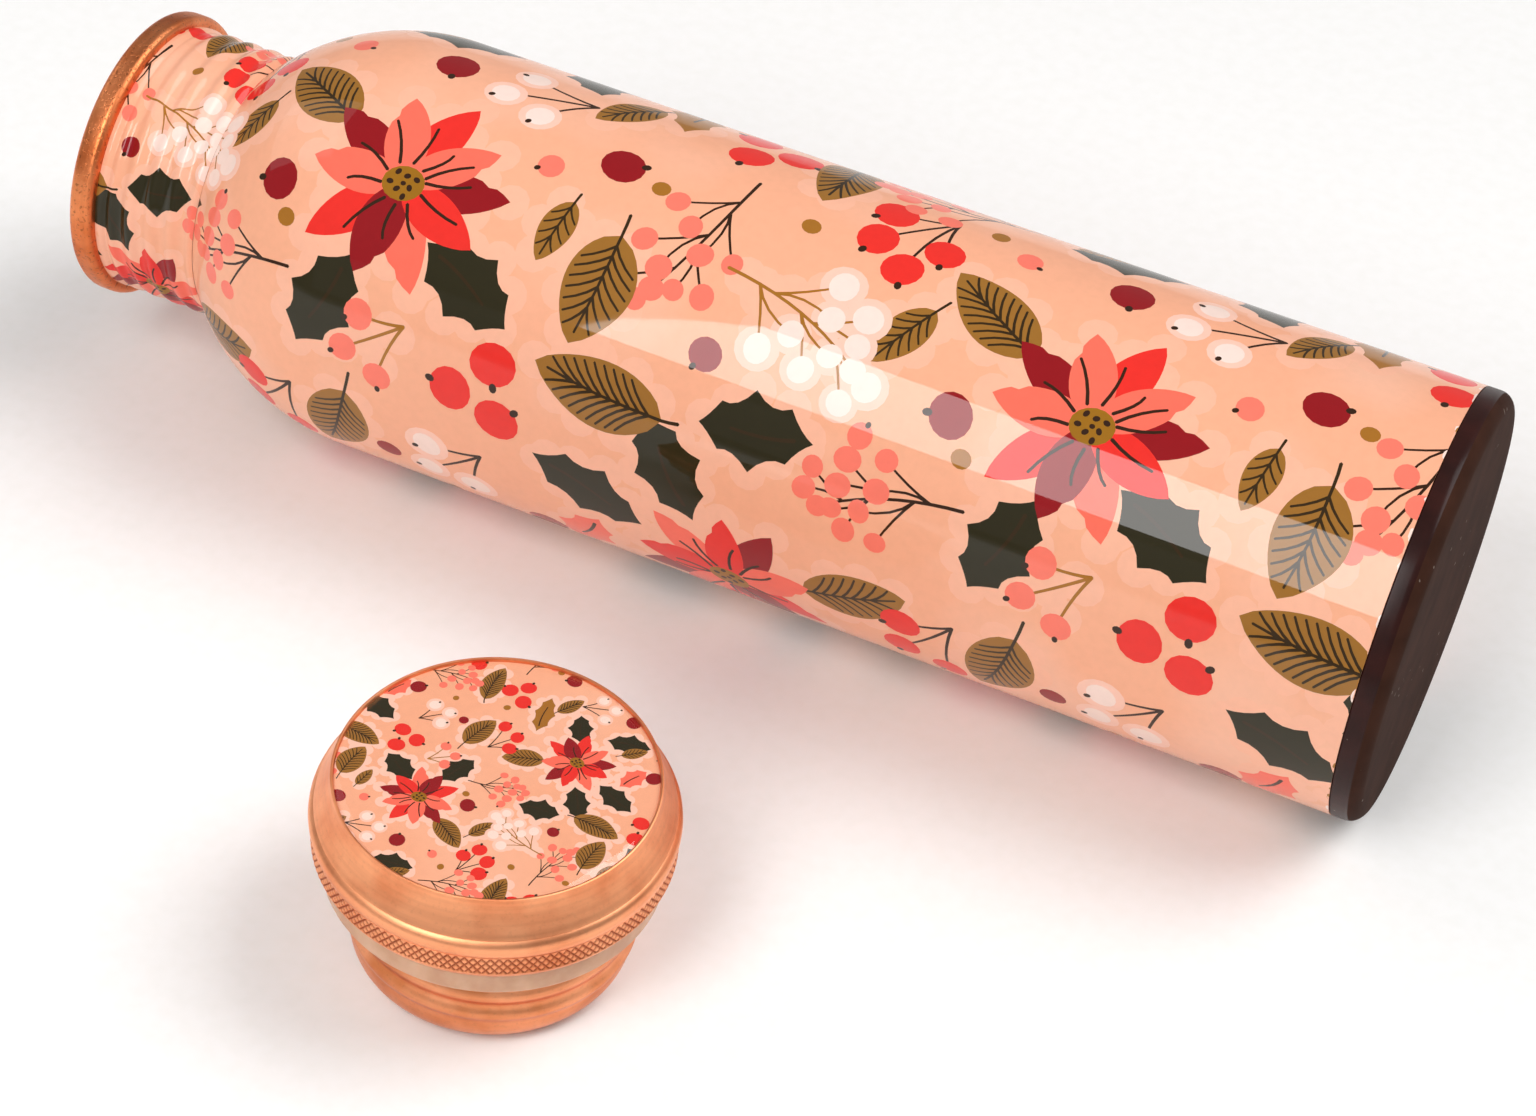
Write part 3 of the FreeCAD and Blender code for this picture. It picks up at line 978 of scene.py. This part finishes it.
def capShellPiece():
    diamonds = round(2 * math.pi * cap["knurlR"] / cap["knurlPitch"])
    edgeR = cap["knurlR"] - cap["edgeIn"]
    low, high, seat = cap["beadLow"], cap["beadHigh"], cap["seat"]
    fadeIn = [cap["knurlLow"] + h for h in cap["knurlFadeIn"]]
    fadeOut = [low + h for h in cap["knurlFadeOut"]]

    def knurled(height, angle):
        # crossed helical grooves leave rows of small pyramids
        across, up = angle / (2 * math.pi) * diamonds, height / cap["knurlRise"]
        waves = [abs(2 * ((across + sign * up) % 1) - 1) for sign in (1, -1)]
        groove = 1 - min(1.0, min(waves) * cap["knurlSharp"])
        fade = smoothStep(*fadeIn, height) * (1 - smoothStep(*fadeOut, height))
        return cap["knurlR"] - cap["knurlDepth"] * groove * fade

    under = [(edgeR - cap["wall"], capUnderside)] + stepsFrom(edgeR, capUnderside, cap["lowEdge"])
    under += stepsFrom(cap["knurlR"], cap["knurlLow"], [cap["knurlFoot"]])
    bead = stepsFrom(cap["knurlR"], low, cap["beadFoot"])
    bead += stepsFrom(radiusOf("cap_shell"), (low + high) / 2, cap["beadCrown"])
    bead += stepsFrom(cap["flareR"], high, cap["beadNeck"])
    flareStart = high + cap["beadNeck"][-1][1]
    flareRun = capRimTop - cap["flareTop"] - high
    flare = [(cap["flareR"] + (cap["rimR"] - cap["flareR"]) * t - cap["flareHollow"] * math.sin(math.pi * t),
              flareStart + flareRun * t) for t in cap["flareRings"]]
    rim = stepsFrom(cap["rimR"], capRimTop, cap["rim"]) + stepsFrom(discR, capRimTop, cap["discEdge"])
    rim += [(discR + cap["discEdge"][-1][0], seat), (0, seat)]
    plateLow = seat - cap["wall"]
    inside = [(0, plateLow), (discR - cap["wall"], plateLow), (cap["flareR"] - cap["wall"], high),
              (edgeR - cap["wall"], low)]
    coarse = diamonds * 2
    rows = spaced(cap["knurlLow"], low - cap["knurlTop"], cap["knurlRow"])
    rings = turn(standing, inside + under, coarse)
    rings += turn(standing, [(knurled, h) for h in rows], diamonds * cap["samples"])
    rings += turn(standing, bead + flare + rim, coarse)
    shell = loft("copper_cap_shell", rings, [capCopper], "cap")
    groove = shell.data.attributes.new("groove", "FLOAT", "POINT")   # painted shade: each point's depth in a knurl groove, which darkens it to dull red
    for vertex, depth in zip(shell.data.vertices, groove.data):
        if cap["knurlLow"] < vertex.co.z / mm < fadeOut[1]:
            r = (vertex.co - capAxis).to_2d().length / mm
            depth.value = min(1, max(0, (cap["knurlR"] - r) / cap["knurlDepth"])) * (r > edgeR)
    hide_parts("cap_shell")


plug = {
    "rootR": 22.6,
    "wall": 0.8,
    "cornerR": 5.5,
    "cornerSteps": 12,
    "insideSteps": 8,
    "bottomRings": (0, 6, 12, 15.5),
    "threadLow": 5.4,
    "threadHigh": 18.6,
    "rowsPast": 0.2,   # the thread's rows of points begin and end this far outside its corner and top
    "row": 0.3,
    "plainTop": 3.0,
    "segments": 180,
}


def plugPiece():
    def threaded(height, angle):
        return plug["rootR"] + thread["ridge"] * helix(height, angle, plug["threadLow"], plug["threadHigh"])

    corner, root, wall = plug["cornerR"], plug["rootR"], plug["wall"]
    flangeR = radiusOf("plug_cup")
    path = [(x, 0.0) for x in plug["bottomRings"]]
    path += rounded((root - corner, corner), corner, -90, 0, plug["cornerSteps"])
    rows = spaced(corner + plug["rowsPast"], plug["threadHigh"] + plug["rowsPast"], plug["row"])
    path += [(threaded, h) for h in rows]
    path += [(root, capUnderside - plug["plainTop"]), (root, capUnderside), (flangeR, capUnderside),
             (flangeR, capUnderside + wall), (root - wall, capUnderside + wall)]
    path += rounded((root - corner, corner), corner - wall, 0, -90, plug["insideSteps"]) + [(0, wall)]
    piece = loft("copper_plug_cup", turn(standing, path, plug["segments"]), [plugCopper], "cap")
    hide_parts("plug_cup")


seal = {"bore": 22.9, "edgeR": 0.7, "edgeSteps": 5, "segments": 160}


def sealPiece():
    low, high = heights("seal_ring")
    outer, edge = radiusOf("seal_ring"), seal["edgeR"]
    path = [(seal["bore"], low)] + rounded((outer - edge, low + edge), edge, -90, 0, seal["edgeSteps"])
    path += rounded((outer - edge, high - edge), edge, 0, 90, seal["edgeSteps"]) + [(seal["bore"], high)]
    piece = loft("silicone_seal", turn(standing, path, seal["segments"]), [sealSilicone], "seal", 50)
    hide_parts("seal_ring")


disc = {
    "scale": 0.33,
    "middle": (84.0, 50.0),   # the point of the repeat that lies in the centre
    "thick": 0.3,
    "gap": 0.02,   # between the resin and what it lies on and in
    "edge": 0.5,   # the lens starts this far above the print, and bends down by edgeDrop at its rim
    "edgeDrop": 0.45,
    "edgeRun": 1.5,
    "segments": 160,
    "rings": 40,
}


def discPieces():
    # the same print, smaller, on a disc under a lens of resin
    reach = discR / disc["scale"]
    top = cap["seat"] + disc["thick"]
    u, v = disc["middle"]
    rim = [(u + reach * math.cos(a), v + reach * math.sin(a))
           for a in (2 * math.pi * i / disc["segments"] for i in range(disc["segments"]))]

    def discSurface(atU, atV):
        return Vector((capAxis.x + (atU - u) * disc["scale"] * mm,
                       capAxis.y + (atV - v) * disc["scale"] * mm, top * mm))

    window = (u - reach, u + reach, v - reach, v + reach)
    shapes = [(outline, "glow" if ink == "halo" else ink) for outline, ink in printedShapes(window)]
    printed = printedSkin("printed_cap_disc", cutPrint(shapes, rim, []), discSurface, disc["thick"])
    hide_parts("cap_print_disc")
    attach(printed, "cap")
    crown = heights("cap_resin_dome")[1]
    edgeTop, edgeR, under = top + disc["edge"], discR - disc["gap"], top + disc["gap"]
    rise = crown - edgeTop
    sphere = (discR ** 2 + rise ** 2) / (2 * rise)
    path = [(0, under), (edgeR, under), (edgeR, edgeTop - disc["edgeDrop"])]
    for i in range(1, disc["rings"] + 1):
        r = edgeR * (1 - i / disc["rings"])
        lens = crown - sphere + math.sqrt(sphere ** 2 - r ** 2)
        path.append((r, lens - disc["edgeDrop"] * smoothStep(discR - disc["edgeRun"], discR, r)))
    slots = [1] + [0] * (len(path) - 1)   # the bonded underside first, then the free surface
    dome = loft("resin_dome", turn(standing, path, disc["segments"]), [resinTop, resinBond], "cap",
                70, slots)
    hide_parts("cap_resin_dome")


capShellPiece()
plugPiece()
sealPiece()
discPieces()
print("cap pieces made")


def refinish(name, material):
    # frame pieces that keep their shape: seen through the mouth, or hidden where parts join
    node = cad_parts[name]
    for slot in node.material_slots:
        slot.material = material


for name in ("body_shell", "base_plate"):
    refinish(name, insideCopper)
for name in ("base_braze", "neck_braze", "plug_solder"):
    refinish(name, brazeMetal)


# metres and watts; the softboxes face the middle of the set
studio = {
    "floorReach": 5.0,
    "air": 0.26,
    "fibreMm": 3,
    "strip": {"at": (-0.13, -0.66, 0.76), "size": (0.38, 0.56), "watts": 5.4},
    "overhead": {"at": (1.4, 0.8, 2.16), "size": (1.8, 1.8), "watts": 46.0},
    "left": {"at": (-2.0, 0.2, 1.56), "size": (1.4, 1.4), "watts": 6.0},
    "front": {"at": (0.4, -3.2, 0.86), "size": (4.4, 1.4), "watts": 3.0},
}


def softbox(name, target):
    values = studio[name]
    data = bpy.data.lights.new(name + "_softbox", "AREA")
    data.shape = "RECTANGLE"
    data.size, data.size_y = values["size"]
    data.energy = values["watts"]
    lamp = bpy.data.objects.new(name + "_softbox", data)
    lamp.location = values["at"]
    lamp.rotation_mode = "QUATERNION"
    lamp.rotation_quaternion = (target - lamp.location).to_track_quat("-Z", "Y")
    bpy.context.scene.collection.objects.link(lamp)


def buildStudio():
    reach = studio["floorReach"]
    # matte white paper, evenly pale with a trace of fibre
    paper, tree, surface, place = newMaterial("white_paper")
    fibres = addNode(tree, "TexNoise", {"Scale": 1 / (studio["fibreMm"] * mm), "Detail": 4},
                     {"Vector": place})
    tone = addNode(tree, "ValToRGB", links={"Fac": fibres.outputs["Fac"]},
                   stops=((0.3, linear("#F8F7F5")), (0.7, linear("#FBFAF9"))))
    tree.links.new(tone.outputs["Color"], surface.inputs["Base Color"])
    surface.inputs["Roughness"].default_value = 0.9
    surface.inputs["Specular IOR Level"].default_value = 0.1
    corners = [(-reach, -reach, 0), (reach, -reach, 0), (reach, reach, 0), (-reach, reach, 0)]
    showMesh("paper_floor", corners, [(0, 1, 2, 3)], [paper], [0])
    world = bpy.data.worlds.new("studio_air")
    world.use_nodes = True
    world.node_tree.nodes["Background"].inputs["Color"].default_value = (1, 1, 1, 1)
    world.node_tree.nodes["Background"].inputs["Strength"].default_value = studio["air"]
    bpy.context.scene.world = world
    for name in ("strip", "overhead", "left", "front"):
        softbox(name, middle((cadLow, cadHigh)))


view = {
    "lens": 86.7,
    "sensor": 36.0,
    "clip": (0.01, 20),
    "at": (0.17574, -0.40526, 0.45165),
    "turn": (46.58, -4.33, 24.69),
}


def placeCamera():
    data = bpy.data.cameras.new("camera")
    data.lens, data.sensor_width = view["lens"], view["sensor"]
    data.clip_start, data.clip_end = view["clip"]
    camera = bpy.data.objects.new("camera", data)
    camera.location = view["at"]
    camera.rotation_euler = [math.radians(a) for a in view["turn"]]
    bpy.context.scene.collection.objects.link(camera)
    bpy.context.scene.camera = camera


buildStudio()
placeCamera()
bpy.context.scene.view_settings.view_transform = "Standard"
print("studio set")
